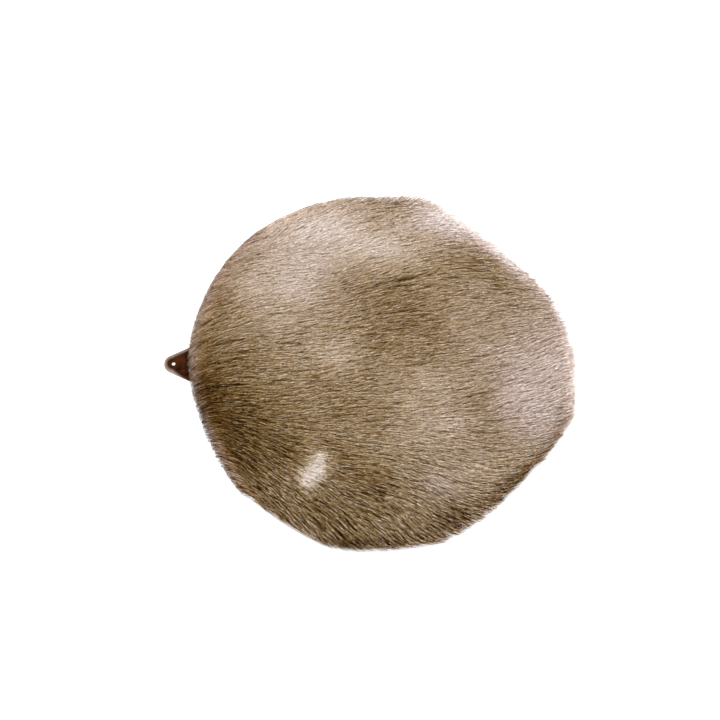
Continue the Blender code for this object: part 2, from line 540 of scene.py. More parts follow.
@dataclass
class PackedHide:
    """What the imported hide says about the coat: its outline and the height of its hair."""

    sectors: int = 90
    rim_height: float = 0.004

    def __post_init__(self) -> None:
        """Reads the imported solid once."""
        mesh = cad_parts[HIDE_NODE].data
        low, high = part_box(HIDE_NODE)
        self.middle = np.array([(low[0] + high[0]) / 2, (low[1] + high[1]) / 2])
        coords = np.empty(len(mesh.vertices) * 3)
        mesh.vertices.foreach_get("co", coords)
        flat = coords.reshape(-1, 3)[:, :2] - self.middle
        sector = (self.bearing(flat) / math.tau * self.sectors).astype(int) % self.sectors
        self.sector_bearings = (np.arange(self.sectors) + 0.5) * math.tau / self.sectors
        distance = np.hypot(flat[:, 0], flat[:, 1])
        self.sector_reach = np.array([distance[sector == s].max() for s in range(self.sectors)])
        self.tree = BVHTree.FromPolygons(
            [v.co.copy() for v in mesh.vertices], [tuple(p.vertices) for p in mesh.polygons]
        )

    @staticmethod
    def bearing(offsets: np.ndarray) -> np.ndarray:
        """Bearings of offsets from the middle, from 0 to a full turn."""
        return np.arctan2(offsets[:, 1], offsets[:, 0]) % math.tau

    def reach(self, bearings: np.ndarray) -> np.ndarray:
        """Distance from the middle to the hair's outline."""
        return np.interp(bearings, self.sector_bearings, self.sector_reach, period=math.tau)

    def from_rim(self, points: np.ndarray) -> tuple[np.ndarray, np.ndarray]:
        """Finds places against the outline.

        Args:
            points: Places, a row of x and y each.

        Returns:
            Each place's bearing from the middle, and how far inside the outline it lies.
        """
        offsets = points - self.middle
        bearings = self.bearing(offsets)
        return bearings, self.reach(bearings) - np.hypot(offsets[:, 0], offsets[:, 1])

    def hair_height(self, points: np.ndarray) -> np.ndarray:
        """Height of the coat's surface above the floor.

        Args:
            points: Places, a row of x and y each.

        Returns:
            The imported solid's top there, or the rim's height outside it.
        """
        down = Vector((0.0, 0.0, -1.0))
        heights = np.full(len(points), self.rim_height)
        for i, (x, y) in enumerate(points):
            hit = self.tree.ray_cast(Vector((x, y, 1.0)), down)[0]
            if hit is not None:
                heights[i] = hit.z
        return heights


@dataclass(frozen=True)
class CombRow:
    """The lie of the hair along one line across the pad: (x, degrees) pairs at this y."""

    y: float
    lie: tuple[tuple[float, float], ...]


@dataclass
class Comb:
    """Which way the hair lies, from listed guides. Degrees turn from +X towards +Y."""

    spread: float = 0.026
    rows: tuple[CombRow, ...] = (
        CombRow(0.190, ((-0.06, 26), (-0.01, 14), (0.04, 12), (0.08, 8))),
        CombRow(0.160, ((-0.11, 30), (-0.06, 23), (-0.01, 15), (0.04, 8), (0.09, 8), (0.12, -4))),
        CombRow(
            0.110,
            (
                (-0.15, 30), (-0.11, 1), (-0.06, 4), (-0.01, 18), (0.04, 13), (0.09, 4), (0.14, -9),
                (0.17, -15),
            ),
        ),
        CombRow(
            0.060,
            (
                (-0.17, 32), (-0.15, 18), (-0.11, 8), (-0.06, 10), (-0.01, 15), (0.04, 8), (0.09, 5),
                (0.14, 4), (0.18, 12),
            ),
        ),
        CombRow(0.035, ((-0.18, 38), (-0.16, 18))),
        CombRow(
            0.010,
            (
                (-0.18, 52), (-0.165, 24), (-0.15, 5), (-0.11, 3), (-0.06, 5), (-0.01, 8), (0.04, 6),
                (0.09, 6), (0.14, 15), (0.19, 30),
            ),
        ),
        CombRow(-0.020, ((-0.18, 42), (-0.16, 6), (-0.145, -8), (-0.12, 3), (0.14, 18), (0.19, 22))),
        CombRow(
            -0.040,
            (
                (-0.175, 16), (-0.15, -5), (-0.11, 5), (-0.06, 8), (-0.01, 6), (0.04, 6), (0.09, 9),
                (0.14, 15), (0.19, 12),
            ),
        ),
        CombRow(
            -0.090,
            (
                (-0.16, -20), (-0.135, -30), (-0.11, -30), (-0.06, -8), (-0.01, -3), (0.04, -4),
                (0.09, -8), (0.14, 4), (0.165, 14),
            ),
        ),
        CombRow(
            -0.115,
            (
                (-0.14, -40), (-0.11, -40), (-0.08, -31), (-0.06, -15), (-0.02, -12), (0.03, -13),
                (0.06, -25), (0.09, -23), (0.12, -6), (0.15, 14),
            ),
        ),
        CombRow(
            -0.140,
            (
                (-0.12, -50), (-0.085, -48), (-0.06, -43), (-0.02, -31), (0.01, -26), (0.05, -33),
                (0.09, -25), (0.112, -6), (0.132, 14),
            ),
        ),
        CombRow(-0.180, ((-0.07, -52), (-0.04, -49), (-0.01, -46), (0.02, -43), (0.05, -39), (0.085, -31))),
    )
    drift_size: float = 0.024
    drift_degrees: float = 5.0
    drift_seed: float = 3.7
    curl_size: float = 0.0095
    curl_degrees: float = 8.0
    curl_seed: float = 5.3

    def __post_init__(self) -> None:
        """Unpacks the rows into guide places and directions."""
        guides = [(x, row.y, math.radians(turn)) for row in self.rows for x, turn in row.lie]
        table = np.array(guides)
        self.places = table[:, :2]
        self.ways = unit(table[:, 2])

    def angles(self, points: np.ndarray) -> np.ndarray:
        """The lie at each place, with the coat's own drift.

        Args:
            points: Places, a row of x and y each.

        Returns:
            The lie in radians.
        """
        gap = np.linalg.norm(points[:, None, :] - self.places[None, :, :], axis=2)
        weight = np.exp(-((gap / self.spread) ** 2)) + 1e-9 / gap.clip(0.001) ** 2
        way = weight @ self.ways
        angle = np.arctan2(way[:, 1], way[:, 0])
        drift = soft_noise(points, self.drift_size, self.drift_seed) * math.radians(self.drift_degrees)
        curl = soft_noise(points, self.curl_size, self.curl_seed) * math.radians(self.curl_degrees)
        return angle + drift + curl


@dataclass(frozen=True)
class Marking:
    """A patch of paler, darker or parted hair.

    Its middle and half sizes are in metres and its turn in degrees. It adds to the tone and coolness, and
    can press the coat down. A crisp patch has a firmer edge.
    """

    x: float
    y: float
    along: float
    across: float
    degrees: float
    tone: float
    cool: float = 0.0
    pressed: float = 0.0
    crisp: float = 1.0


@dataclass
class Markings:
    """The coat's tone and warmth over the pad, from listed patches."""

    tone: float = 0.600
    cool: float = 0.19
    patches: tuple[Marking, ...] = tuple(
        Marking(*row)
        for row in (
            # the pale flank along the upper left
            (-0.070, 0.110, 0.075, 0.060, 25, 0.23, 0.47),
            (-0.045, 0.160, 0.060, 0.022, 15, 0.13, 0.30),
            (0.015, 0.132, 0.045, 0.018, -8, 0.19, 0.25),
            (0.062, 0.158, 0.035, 0.018, -20, 0.13, 0.35),
            (0.085, 0.160, 0.040, 0.025, -35, 0.18, 0.50),
            (0.045, 0.118, 0.022, 0.014, 0, 0.06, 0.05),
            (-0.020, 0.086, 0.030, 0.018, 5, -0.13, -0.05),
            (-0.136, 0.112, 0.020, 0.028, -30, -0.07, 0.10),
            (0.140, 0.126, 0.052, 0.0110, -48, 0.28, 0.75),
            (0.116, 0.108, 0.036, 0.012, -42, -0.10, -0.05),
            (-0.070, 0.078, 0.055, 0.016, 0, 0.04, 0.05),
            (0.098, 0.160, 0.032, 0.015, -38, 0.10, 0.35),
            (0.033, 0.152, 0.018, 0.012, 0, 0.07, 0.20),
            (0.076, 0.174, 0.030, 0.012, -20, 0.08, 0.50),
            (-0.130, 0.090, 0.017, 0.015, 20, 0.07, 0.0),
            (0.012, 0.110, 0.016, 0.012, 0, 0.05, 0.0),
            (-0.029, 0.154, 0.020, 0.014, 10, 0.05, 0.05),
            # the pale right side
            (0.215, -0.015, 0.085, 0.080, 0, 0.23, 1.05),
            (0.154, -0.034, 0.024, 0.036, 0, 0.09, 0.35),
            (0.174, -0.066, 0.016, 0.022, 20, 0.04, 0.15),
            (0.177, -0.020, 0.010, 0.009, 0, -0.07, 0.0),
            (0.095, 0.052, 0.022, 0.026, 0, 0.07, 0.10),
            (0.065, -0.048, 0.035, 0.028, 0, 0.10, 0.15),
            (0.055, -0.014, 0.034, 0.014, 5, 0.06, 0.10),
            (0.060, -0.078, 0.045, 0.016, -5, 0.08, 0.10),
            (0.078, -0.118, 0.032, 0.030, -20, 0.08, 0.20),
            (0.113, -0.110, 0.016, 0.014, 0, 0.12, 0.05),
            (0.072, -0.131, 0.018, 0.016, 0, 0.07, 0.30),
            (0.114, -0.038, 0.010, 0.013, 0, -0.10, -0.10),
            (0.086, -0.064, 0.020, 0.011, 0, 0.09, 0.10),
            (0.034, -0.088, 0.014, 0.010, 0, 0.06, 0.05),
            (0.033, -0.042, 0.015, 0.012, 0, 0.05, 0.0),
            (0.075, -0.024, 0.030, 0.012, 0, 0.05, 0.05),
            (0.118, 0.020, 0.018, 0.012, 0, 0.06, 0.10),
            (0.118, 0.088, 0.012, 0.010, 0, 0.06, 0.10),
            # the paler middle left
            (-0.030, 0.006, 0.018, 0.016, 0, 0.12, 0.05),
            (-0.090, 0.046, 0.016, 0.012, 0, 0.07, 0.05),
            (-0.050, 0.014, 0.048, 0.018, 3, 0.08, 0.05),
            (-0.095, -0.016, 0.035, 0.013, 3, 0.06, 0.0),
            # the dark left and lower left
            (-0.155, -0.060, 0.060, 0.065, 0, -0.325, -0.30),
            (-0.170, -0.030, 0.020, 0.050, 0, -0.14, -0.10),
            (-0.158, 0.075, 0.020, 0.035, -10, -0.13, -0.05),
            (-0.110, -0.105, 0.040, 0.035, -35, -0.11, -0.10),
            (-0.060, -0.115, 0.110, 0.055, -10, 0.0, -0.15),
            (-0.170, 0.030, 0.011, 0.020, 8, -0.09, -0.05),
            (-0.171, -0.042, 0.012, 0.034, 8, -0.08, -0.05),
            (-0.152, -0.088, 0.014, 0.016, 0, -0.06, 0.0),
            (-0.075, -0.096, 0.014, 0.012, -30, -0.08, 0.0),
            (-0.020, -0.050, 0.026, 0.018, 0, -0.05, -0.05),
            (-0.029, -0.090, 0.013, 0.012, 0, -0.08, 0.0),
            (-0.028, -0.110, 0.014, 0.011, 0, -0.06, 0.0),
            (0.012, 0.023, 0.014, 0.011, 0, -0.08, 0.0),
            (0.004, -0.132, 0.026, 0.028, 0, -0.05, -0.05),
            (0.012, 0.068, 0.028, 0.016, 0, -0.05, 0.0),
            (0.043, 0.045, 0.018, 0.012, 0, -0.05, 0.0),
            (-0.167, -0.050, 0.014, 0.030, 15, -0.10, 0.0),
            (-0.152, 0.062, 0.012, 0.020, 0, -0.05, 0.0),
            # darker towards the bottom edge: painted shade where the coat turns down away from the light
            (-0.020, -0.150, 0.060, 0.035, -5, -0.08, -0.10),
            (-0.052, -0.160, 0.050, 0.020, -8, -0.09, -0.10),
            (-0.107, -0.149, 0.022, 0.018, -45, -0.17, -0.05),
            (0.152, -0.130, 0.014, 0.014, 40, -0.08, 0.0),
            (0.000, -0.125, 0.030, 0.018, -20, -0.06, -0.05),
            (0.084, -0.162, 0.026, 0.016, 15, -0.27, 0.0),
            (-0.020, -0.172, 0.055, 0.010, -2, -0.04, 0.0),
            (-0.134, -0.106, 0.014, 0.018, -40, -0.09, 0.0),
            (-0.136, -0.128, 0.014, 0.016, -45, -0.09, 0.0),
            (-0.090, -0.086, 0.012, 0.012, 0, -0.05, 0.0),
            (0.033, 0.178, 0.022, 0.007, -5, -0.08, 0.0),
            # the darker saddle in the middle
            (0.035, 0.055, 0.045, 0.038, 5, -0.07, -0.05),
            # the white spot with its tan fleck
            (-0.049, -0.105, 0.0095, 0.013, -20, 0.42, 0.26, 0.0, 2.0),
            (-0.056, -0.119, 0.0135, 0.0120, 20, 0.44, 0.26, 0.0, 2.0),
            (-0.060, -0.130, 0.007, 0.009, 30, 0.22, 0.20, 0.0, 1.5),
            (-0.067, -0.103, 0.003, 0.002, -20, 0.08, -0.40),
            # partings where the coat is dented: pressed down and darkened, partly the darker hair beneath and
            # partly painted shade in the dent
            (0.041, 0.094, 0.016, 0.0019, 14, -0.42, -0.10, 0.35),
            (0.034, 0.086, 0.010, 0.0013, 10, -0.24, -0.10, 0.25),
            (0.010, 0.086, 0.016, 0.0016, 24, -0.26, -0.10, 0.25),
            (-0.152, -0.026, 0.013, 0.0020, 4, -0.22, 0.0, 0.2),
            (-0.150, 0.020, 0.012, 0.0018, 12, -0.18, 0.0, 0.2),
            (0.124, -0.063, 0.006, 0.0018, 5, -0.24, 0.0, 0.25),
            (-0.168, -0.022, 0.012, 0.0018, 12, -0.20, 0.0, 0.25),
            (-0.172, 0.040, 0.008, 0.0015, 20, -0.20, 0.0, 0.25),
        )
    )
    mottle_size: float = 0.013
    mottle: float = 0.022
    mottle_seed: float = 9.1

    def at(self, points: np.ndarray) -> tuple[np.ndarray, np.ndarray, np.ndarray]:
        """Tone, coolness and pressing down at each place.

        Args:
            points: Places, a row of x and y each.

        Returns:
            The tone, 0 dark to 1 pale, the coolness, 0 warm to 1 cool, and the share of height lost.
        """
        tone = self.tone + self.mottle * soft_noise(points, self.mottle_size, self.mottle_seed)
        cool = np.full(len(points), self.cool)
        pressed = np.zeros(len(points))
        for patch in self.patches:
            turn = math.radians(patch.degrees)
            offset = points - np.array([patch.x, patch.y])
            along = (offset[:, 0] * math.cos(turn) + offset[:, 1] * math.sin(turn)) / patch.along
            across = (offset[:, 1] * math.cos(turn) - offset[:, 0] * math.sin(turn)) / patch.across
            weight = np.exp(-((along**2 + across**2) ** patch.crisp))
            tone += patch.tone * weight
            cool += patch.cool * weight
            pressed += patch.pressed * weight
        return tone, cool, pressed


@dataclass
class Streaks:
    """Streaks along the lie of the hair: grains smeared along the comb's direction.

    The grains are evened over a few neighbours, and blending between them costs a share of their spread.
    """

    grain: float = 0.00060
    length: float = 0.0054
    deepen: float = 0.20
    samples: int = 10
    evening: int = 2
    blend_loss: float = 0.67
    half_width: float = 0.26
    lift: float = 1.05
    seed: int = SEED

    def __post_init__(self) -> None:
        """Scatters the grains, without their broad drifts."""
        side = int(2 * self.half_width / self.grain)
        grains = np.random.default_rng(self.seed).normal(0.0, 1.0, (side + 1, side + 1))
        shifts = range(-self.evening, self.evening + 1)
        broad = sum(np.roll(grains, (i, j), (0, 1)) for i in shifts for j in shifts)
        self.grains = (grains - broad / len(shifts) ** 2) * self.lift

    def grain_at(self, points: np.ndarray) -> np.ndarray:
        """The grains' value between them, by even blending.

        Args:
            points: Places, a row of x and y each.

        Returns:
            One value for each place.
        """
        place = np.clip((points + self.half_width) / self.grain, 0.0, self.grains.shape[0] - 1.001)
        cell = place.astype(int)
        x, y = (place - cell).T
        i, j = cell.T
        low = self.grains[i, j] * (1 - x) + self.grains[i + 1, j] * x
        high = self.grains[i, j + 1] * (1 - x) + self.grains[i + 1, j + 1] * x
        return low * (1 - y) + high * y

    def at(self, points: np.ndarray, angles: np.ndarray) -> np.ndarray:
        """The streak at each place, spread about 0 by about 1, with the dark ones a little deeper.

        Args:
            points: Places, a row of x and y each.
            angles: The hair's lie there.

        Returns:
            One value for each place.
        """
        way = unit(angles)
        steps = np.linspace(-self.length / 2, self.length / 2, self.samples)
        total = sum(self.grain_at(points + way * step) for step in steps)
        streak = total / (math.sqrt(self.samples) * self.blend_loss)
        return streak - self.deepen * (streak**2 - 1)


@dataclass
class SkinCut:
    """The line along which the skin itself is cut, a little inside the hair's outline."""

    hide: PackedHide
    comb: Comb
    root_side_inset: float = 0.0050
    tip_overhang: float = 0.0052
    bare_from: float = 229.0
    bare_to: float = 256.0
    bare_rise: float = 8.0
    bare_reach: float = -0.0028
    steps: int = 144

    def __post_init__(self) -> None:
        """Works out the cut at evenly spaced bearings."""
        self.bearings = np.arange(self.steps) * math.tau / self.steps
        outer = self.hide.reach(self.bearings)
        lie = self.comb.angles(self.hide.middle + unit(self.bearings) * outer[:, None])
        leaving = np.clip(np.cos(lie - self.bearings), 0.0, 1.0)
        degrees = np.degrees(self.bearings)
        rise = ease((degrees - self.bare_from) / self.bare_rise)
        rise *= ease((self.bare_to - degrees) / self.bare_rise)
        inset = self.root_side_inset + self.tip_overhang * leaving
        self.cut = outer - inset * (1 - rise) + self.bare_reach * rise
        self.bare = rise

    def reach(self, bearings: np.ndarray) -> np.ndarray:
        """Distance from the middle to the cut."""
        return np.interp(bearings, self.bearings, self.cut, period=math.tau)

    def bareness(self, bearings: np.ndarray) -> np.ndarray:
        """1 where the cut edge shows past the hair, and 0 elsewhere."""
        return np.interp(bearings, self.bearings, self.bare, period=math.tau)

    def depth(self, points: np.ndarray) -> np.ndarray:
        """How far inside the cut each place lies."""
        offsets = points - self.hide.middle
        return self.reach(self.hide.bearing(offsets)) - np.hypot(offsets[:, 0], offsets[:, 1])

    def outward(self, points: np.ndarray) -> np.ndarray:
        """The unit direction from the middle at each place."""
        offsets = points - self.hide.middle
        return offsets / np.linalg.norm(offsets, axis=1).clip(1e-6)[:, None]


# ---------------------------------------------------------------------------------------------------- skin


@dataclass
class Skin:
    """The tanned skin: a thin sheet lying flat, lifted a little over the tab's tongue."""

    cut: SkinCut
    thickness: float = 0.0020
    clearance: float = 0.0004
    pocket_margin: float = 0.014
    pocket_fade: float = 0.028
    rings: tuple[float, ...] = (0.12, 0.26, 0.40, 0.53, 0.65, 0.76, 0.85, 0.92, 0.97, 1.0)
    edge_round: float = 0.0005
    edge_degrees: float = 60.0

    def lift(self, points: np.ndarray) -> np.ndarray:
        """How far the tab's tongue holds the skin off the floor.

        Args:
            points: Places, a row of x and y each.

        Returns:
            The skin's lift at each place in metres.
        """
        low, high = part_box(TAB_NODE)
        past_end = np.clip(points[:, 0] - high[0], 0.0, None)
        middle, half = (low[1] + high[1]) / 2, (high[1] - low[1]) / 2
        past_side = np.clip(np.abs(points[:, 1] - middle) - half, 0.0, None)
        outside = np.hypot(past_end, past_side)
        return (1 - ease((outside - self.pocket_margin) / self.pocket_fade)) * (high[2] + self.clearance)

    def section(self) -> list[tuple[float, float]]:
        """The skin's section.

        Returns:
            Each ring's share of the reach and its height, from the top's middle to the underside's.
        """
        top = [(0.0, self.thickness)] + [(share, self.thickness) for share in self.rings]
        under = [(share, 0.0) for share in reversed(self.rings)] + [(0.0, 0.0)]
        return top + under

    def build(self, finish: SkinFinish) -> bpy.types.Object:
        """Turns the section, draws it out to the cut and lays it over the tongue.

        Args:
            finish: The tanned skin's colours.

        Returns:
            The skin.
        """
        bm = bmesh.new()
        verts = [bm.verts.new((share, 0.0, height)) for share, height in self.section()]
        edges = [bm.edges.new(pair) for pair in zip(verts, verts[1:])]
        bmesh.ops.spin(
            bm,
            geom=verts + edges,
            cent=(0.0, 0.0, 0.0),
            axis=(0.0, 0.0, 1.0),
            angle=math.tau,
            steps=self.cut.steps,
            use_merge=True,
        )
        bmesh.ops.remove_doubles(bm, verts=bm.verts, dist=1e-5)
        flat = np.array([(v.co.x, v.co.y) for v in bm.verts])
        share = np.hypot(flat[:, 0], flat[:, 1])
        bearing = PackedHide.bearing(flat)
        reach = share * self.cut.reach(bearing)
        places = self.cut.hide.middle + unit(bearing) * reach[:, None]
        lifts = self.lift(places)
        for vert, place, lift in zip(bm.verts, places, lifts):
            vert.co = Vector((place[0], place[1], vert.co.z + lift))
        bmesh.ops.recalc_face_normals(bm, faces=bm.faces)
        rim = [e for e in bm.edges if e.is_manifold and e.calc_face_angle() > math.radians(self.edge_degrees)]
        bmesh.ops.bevel(
            bm,
            geom=rim,
            offset=self.edge_round,
            segments=2,
            profile=0.5,
            affect="EDGES",
            material=-1,
        )
        skin = show("hide_skin", bm, skin_material(finish))
        skin.data.shade_smooth()
        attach(skin, ROOT_BODY)
        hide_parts(HIDE_NODE)
        return skin


# ---------------------------------------------------------------------------------------------------- hair


@dataclass(frozen=True)
class HairKind:
    """One kind of hair: its size, how it stands in locks, how high it reaches and how it is coloured."""

    label: str
    pieces: int
    rings: int
    length: float
    width: float
    lock_spacing: float
    hairs_per_lock: int
    root_spread: float
    tip_spread: float
    low_reach: float
    high_reach: float
    streak: float
    ridge: float
    lock_tone: float
    hair_tone: float
    tone_root: float
    tone_tip: float
    rim_only: bool = False
    bulge: float = 0.3
    evenness: float = 0.8


class Hair(Enum):
    """The kinds of hair in the coat."""

    UNDER = HairKind(
        label="under_hair",
        pieces=1,
        rings=1,
        length=0.017,
        width=0.00095,
        lock_spacing=0.0052,
        hairs_per_lock=4,
        root_spread=0.0028,
        tip_spread=0.0022,
        low_reach=0.40,
        high_reach=0.62,
        streak=0.05,
        ridge=0.0,
        lock_tone=0.04,
        hair_tone=0.04,
        tone_root=0.0,
        tone_tip=-0.16,
    )
    GUARD = HairKind(
        label="guard_hair",
        pieces=4,
        rings=1,
        length=0.018,
        width=0.00040,
        lock_spacing=0.00175,
        hairs_per_lock=3,
        root_spread=0.0009,
        tip_spread=0.0005,
        low_reach=0.92,
        high_reach=1.00,
        streak=0.160,
        ridge=0.0004,
        lock_tone=0.015,
        hair_tone=0.060,
        tone_root=-0.10,
        tone_tip=0.0,
    )
    RIM = HairKind(
        label="rim_hair",
        pieces=1,
        rings=3,
        length=0.022,
        width=0.00042,
        lock_spacing=0.0006,
        hairs_per_lock=1,
        root_spread=0.0004,
        tip_spread=0.0004,
        low_reach=0.92,
        high_reach=1.02,
        streak=0.11,
        ridge=0.0003,
        lock_tone=0.02,
        hair_tone=0.05,
        tone_root=0.0,
        tone_tip=0.0,
        rim_only=True,
        bulge=1.0,
    )


@dataclass(frozen=True)
class Unevenness:
    """How much locks and their hairs differ: spreads as shares, in degrees, in metres or in coolness."""

    lock_place: float = 0.33
    tip_place: float = 0.3
    lock_length: float = 0.10
    hair_length: float = 0.07
    hair_reach: float = 0.04
    stray_degrees: float = 3.0
    bend_degrees: float = 4.0
    lock_luck: float = 0.25
    lucky_width: float = 0.3
    lucky_from: float = 2.33
    lock_cool: float = 0.08
    slip: float = 0.0022
    low_push: float = 0.75


@dataclass(frozen=True)
class Contrast:
    """How strongly streaks show: more on dark hair and at the belly edge, softened where they turn pale."""

    at_black: float = 2.7
    fall: float = 2.55
    least: float = 0.35
    most: float = 2.0
    belly_from: float = -0.09
    belly_run: float = 0.05
    belly_more: float = 0.3
    soften: float = 0.45

    def apply(self, tone: np.ndarray, uneven: np.ndarray, y: np.ndarray) -> np.ndarray:
        """The tone with its streaks.

        Args:
            tone: The coat's own tone at each place.
            uneven: The streaks and each hair's own tone.
            y: How far up the pad each place lies.

        Returns:
            The tone of each place.
        """
        strength = (self.at_black - self.fall * tone).clip(self.least, self.most)
        belly = 1 + self.belly_more * ease((self.belly_from - y) / self.belly_run)
        shown = uneven * strength * belly
        return tone + shown - self.soften * shown.clip(0.0) ** 2


@dataclass
class Strand:
    """A single hair's template, pointed at both ends, with three-sided rings between."""

    rings: int

    def __post_init__(self) -> None:
        """Makes the template from a three-sided ball."""
        bm = bmesh.new()
        bmesh.ops.create_uvsphere(bm, u_segments=3, v_segments=self.rings + 1, radius=1.0)
        bmesh.ops.triangulate(bm, faces=bm.faces)
        levels = sorted({round(v.co.z, 4) for v in bm.verts})
        self.level = np.array([levels.index(round(v.co.z, 4)) for v in bm.verts])
        around = np.array([math.atan2(v.co.y, v.co.x) for v in bm.verts])
        self.side = np.cos(around)
        self.up = np.sin(around)
        bm.verts.index_update()
        self.faces = np.array([[v.index for v in f.verts] for f in bm.faces])
        bm.free()


@dataclass
class Scatter:
    """What each hair of one kind has of its own: one row a hair.

    Its root, how it gathers to its lock, its length and the share of the coat's height it reaches, how it
    strays and bends, how far it may spill, its tone and coolness, where along itself it reads the markings,
    how near an uncovered rim it roots, how far it bulges there and how far its roots show.
    """

    root: np.ndarray
    gather: np.ndarray
    length: np.ndarray
    reach: np.ndarray
    stray: np.ndarray
    bend: np.ndarray
    luck: np.ndarray
    tone: np.ndarray
    cool: np.ndarray
    slip: np.ndarray
    near_rim: np.ndarray
    push: np.ndarray
    upstream: np.ndarray


@dataclass
class Locks:
    """Hairs of one kind, ready to be drawn: their spines, lie, tone and coolness at every level."""

    spines: np.ndarray
    tone: np.ndarray
    cool: np.ndarray


@dataclass
class Coat:
    """All the hair, in locks that root in the skin and lie along the comb.

    Tables go round the rim by bearing in degrees. Tufts give a half width in degrees and how much longer
    hair grows. Spill gives how far past the outline dense and loose hair reaches, sweep how many degrees
    the lie turns at the rim, and shade the tone it gains there.
    """

    cut: SkinCut
    skin: Skin
    comb: Comb
    markings: Markings
    streaks: Streaks
    unevenness: Unevenness = Unevenness()
    contrast: Contrast = Contrast()
    rise_power: float = 2.9
    root_depth: float = 0.0002
    least_height: float = 0.0008
    rim_delay: float = 1.2
    start_run: float = 0.72
    tip_run: float = 0.26
    bulge_power: float = 0.6
    # parting lines: thin lines where the coat is lowered and darkened, the darkening painted shade for the
    # gaps between clumps
    parting_lines: Streaks = field(default_factory=lambda: Streaks(grain=0.0017, length=0.0130, seed=SEED + 7))
    parting_from: float = 0.8
    parting_most: float = 1.6
    parting_shade: float = 0.14
    wisp: float = 0.45
    wisp_depth: float = 0.0120
    tufts: tuple[tuple[float, float, float], ...] = (
        (80.0, 6.0, 0.70),
        (52.0, 10.0, 0.45),
        (1.0, 4.0, 0.35),
        (341.0, 4.0, 0.25),
    )
    root_inset: float = 0.0005
    upstream_from: float = 0.05
    upstream_full: float = 0.45
    rim_band: float = 0.0060
    rim_push: float = 0.0078
    root_band: float = 0.0110
    root_tone: float = 0.55
    root_tint: float = 0.85
    root_least: float = 0.001
    root_cool: float = 1.0
    rim_cool: float = 0.40
    soft_limit: float = 0.0030
    spill_fade: float = 0.28
    spill_cool: float = 0.40
    spill_run: float = 0.0060
    spill: tuple[tuple[float, float, float], ...] = (
        (0.0, 0.0100, 0.0100), (15.0, 0.0075, 0.0090), (30.0, 0.0070, 0.0095),
        (42.0, 0.0078, 0.0100), (50.0, 0.0092, 0.0110), (61.0, 0.0072, 0.0100),
        (68.0, 0.0036, 0.0070), (80.0, 0.0130, 0.0080), (92.0, 0.0026, 0.0050),
        (120.0, 0.0016, 0.0034), (150.0, 0.0014, 0.0024), (170.0, 0.0022, 0.0026),
        (190.0, 0.0036, 0.0024), (202.0, 0.0038, 0.0016), (215.0, 0.0012, 0.0010),
        (226.0, 0.0026, 0.0008), (233.0, 0.0030, 0.0008), (239.0, 0.0000, 0.0006),
        (252.0, 0.0000, 0.0010), (262.0, -0.0016, 0.0030), (280.0, -0.0040, 0.0032),
        (292.0, -0.0004, 0.0044), (304.0, 0.0012, 0.0056), (311.0, 0.0006, 0.0040),
        (320.0, 0.0046, 0.0060), (332.0, 0.0052, 0.0070), (342.0, 0.0086, 0.0080),
        (351.0, 0.0036, 0.0056),
    )
    bare_margin: float = 0.0030
    sweep_band: float = 0.0100
    sweep: tuple[tuple[float, float], ...] = (
        (0.0, 0.0), (20.0, 0.0), (50.0, 8.0), (72.0, 22.0), (80.0, 36.0), (88.0, 30.0),
        (98.0, 14.0), (120.0, 8.0), (150.0, 14.0), (180.0, 24.0), (196.0, 24.0), (206.0, 10.0),
        (222.0, 0.0), (250.0, 0.0), (262.0, 10.0), (282.0, 10.0), (292.0, 0.0), (304.0, 0.0),
        (314.0, 26.0), (338.0, 28.0), (350.0, 10.0),
    )
    shade_inset: float = 0.0055
    shade_band: float = 0.0060
    shade_warmth: float = 0.3
    shade: tuple[tuple[float, float], ...] = (
        (0.0, 0.0), (248.0, 0.0), (260.0, -0.54), (270.0, -0.32), (282.0, -0.26), (294.0, -0.12),
        (303.0, -0.12), (312.0, -0.38), (328.0, -0.38), (340.0, -0.24), (350.0, -0.08),
    )
    palette_jitter: float = 0.004
    palette_end: float = 0.01
    tip_taper: float = 0.5

    def lock_roots(self, kind: HairKind, rng: np.random.Generator) -> np.ndarray:
        """Roots of the locks, on an uneven triangular grid inside the cut.

        Args:
            kind: The kind of hair.
            rng: The source of its unevenness.

        Returns:
            Places, a row of x and y each.
        """
        step = kind.lock_spacing
        low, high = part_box(HIDE_NODE)
        columns = np.arange(low[0], high[0], step)
        rows = np.arange(low[1], high[1], step * math.sqrt(0.75))
        x, y = np.meshgrid(columns, rows)
        x = x + (np.arange(len(rows)) % 2)[:, None] * step / 2
        points = np.stack([x.ravel(), y.ravel()], axis=1)
        points += rng.normal(0.0, step * self.unevenness.lock_place, points.shape)
        depth = self.cut.depth(points)
        bare = self.cut.bareness(self.cut.hide.bearing(points - self.cut.hide.middle))
        keep = depth > self.root_inset + self.bare_margin * bare
        if kind.rim_only:
            keep &= (depth < self.rim_band) & (self.upstream(points) > self.upstream_from)
        return points[keep]

    def lie_at(self, points: np.ndarray) -> np.ndarray:
        """The comb's lie, swept along the rim where the coat curls round it.

        Args:
            points: Places, a row of x and y each.

        Returns:
            The lie in radians.
        """
        angle = self.comb.angles(points)
        bearings, depth = self.cut.hide.from_rim(points)
        turn = np.radians(round_rim(self.sweep, bearings))
        return angle + turn * np.exp(-((depth.clip(0.0) / self.sweep_band) ** 2))

    def leaving(self, points: np.ndarray) -> np.ndarray:
        """How far the hair lies outward.

        Args:
            points: Places, a row of x and y each.

        Returns:
            1 where it lies straight out from the middle, and -1 where it lies straight in.
        """
        outward = self.cut.outward(points)
        angles = self.comb.angles(points)
        return outward[:, 0] * np.cos(angles) + outward[:, 1] * np.sin(angles)

    def upstream(self, points: np.ndarray) -> np.ndarray:
        """1 where the hair lies away from the rim, so that its roots show there, and 0 elsewhere."""
        return ease(-self.leaving(points) / self.upstream_full)

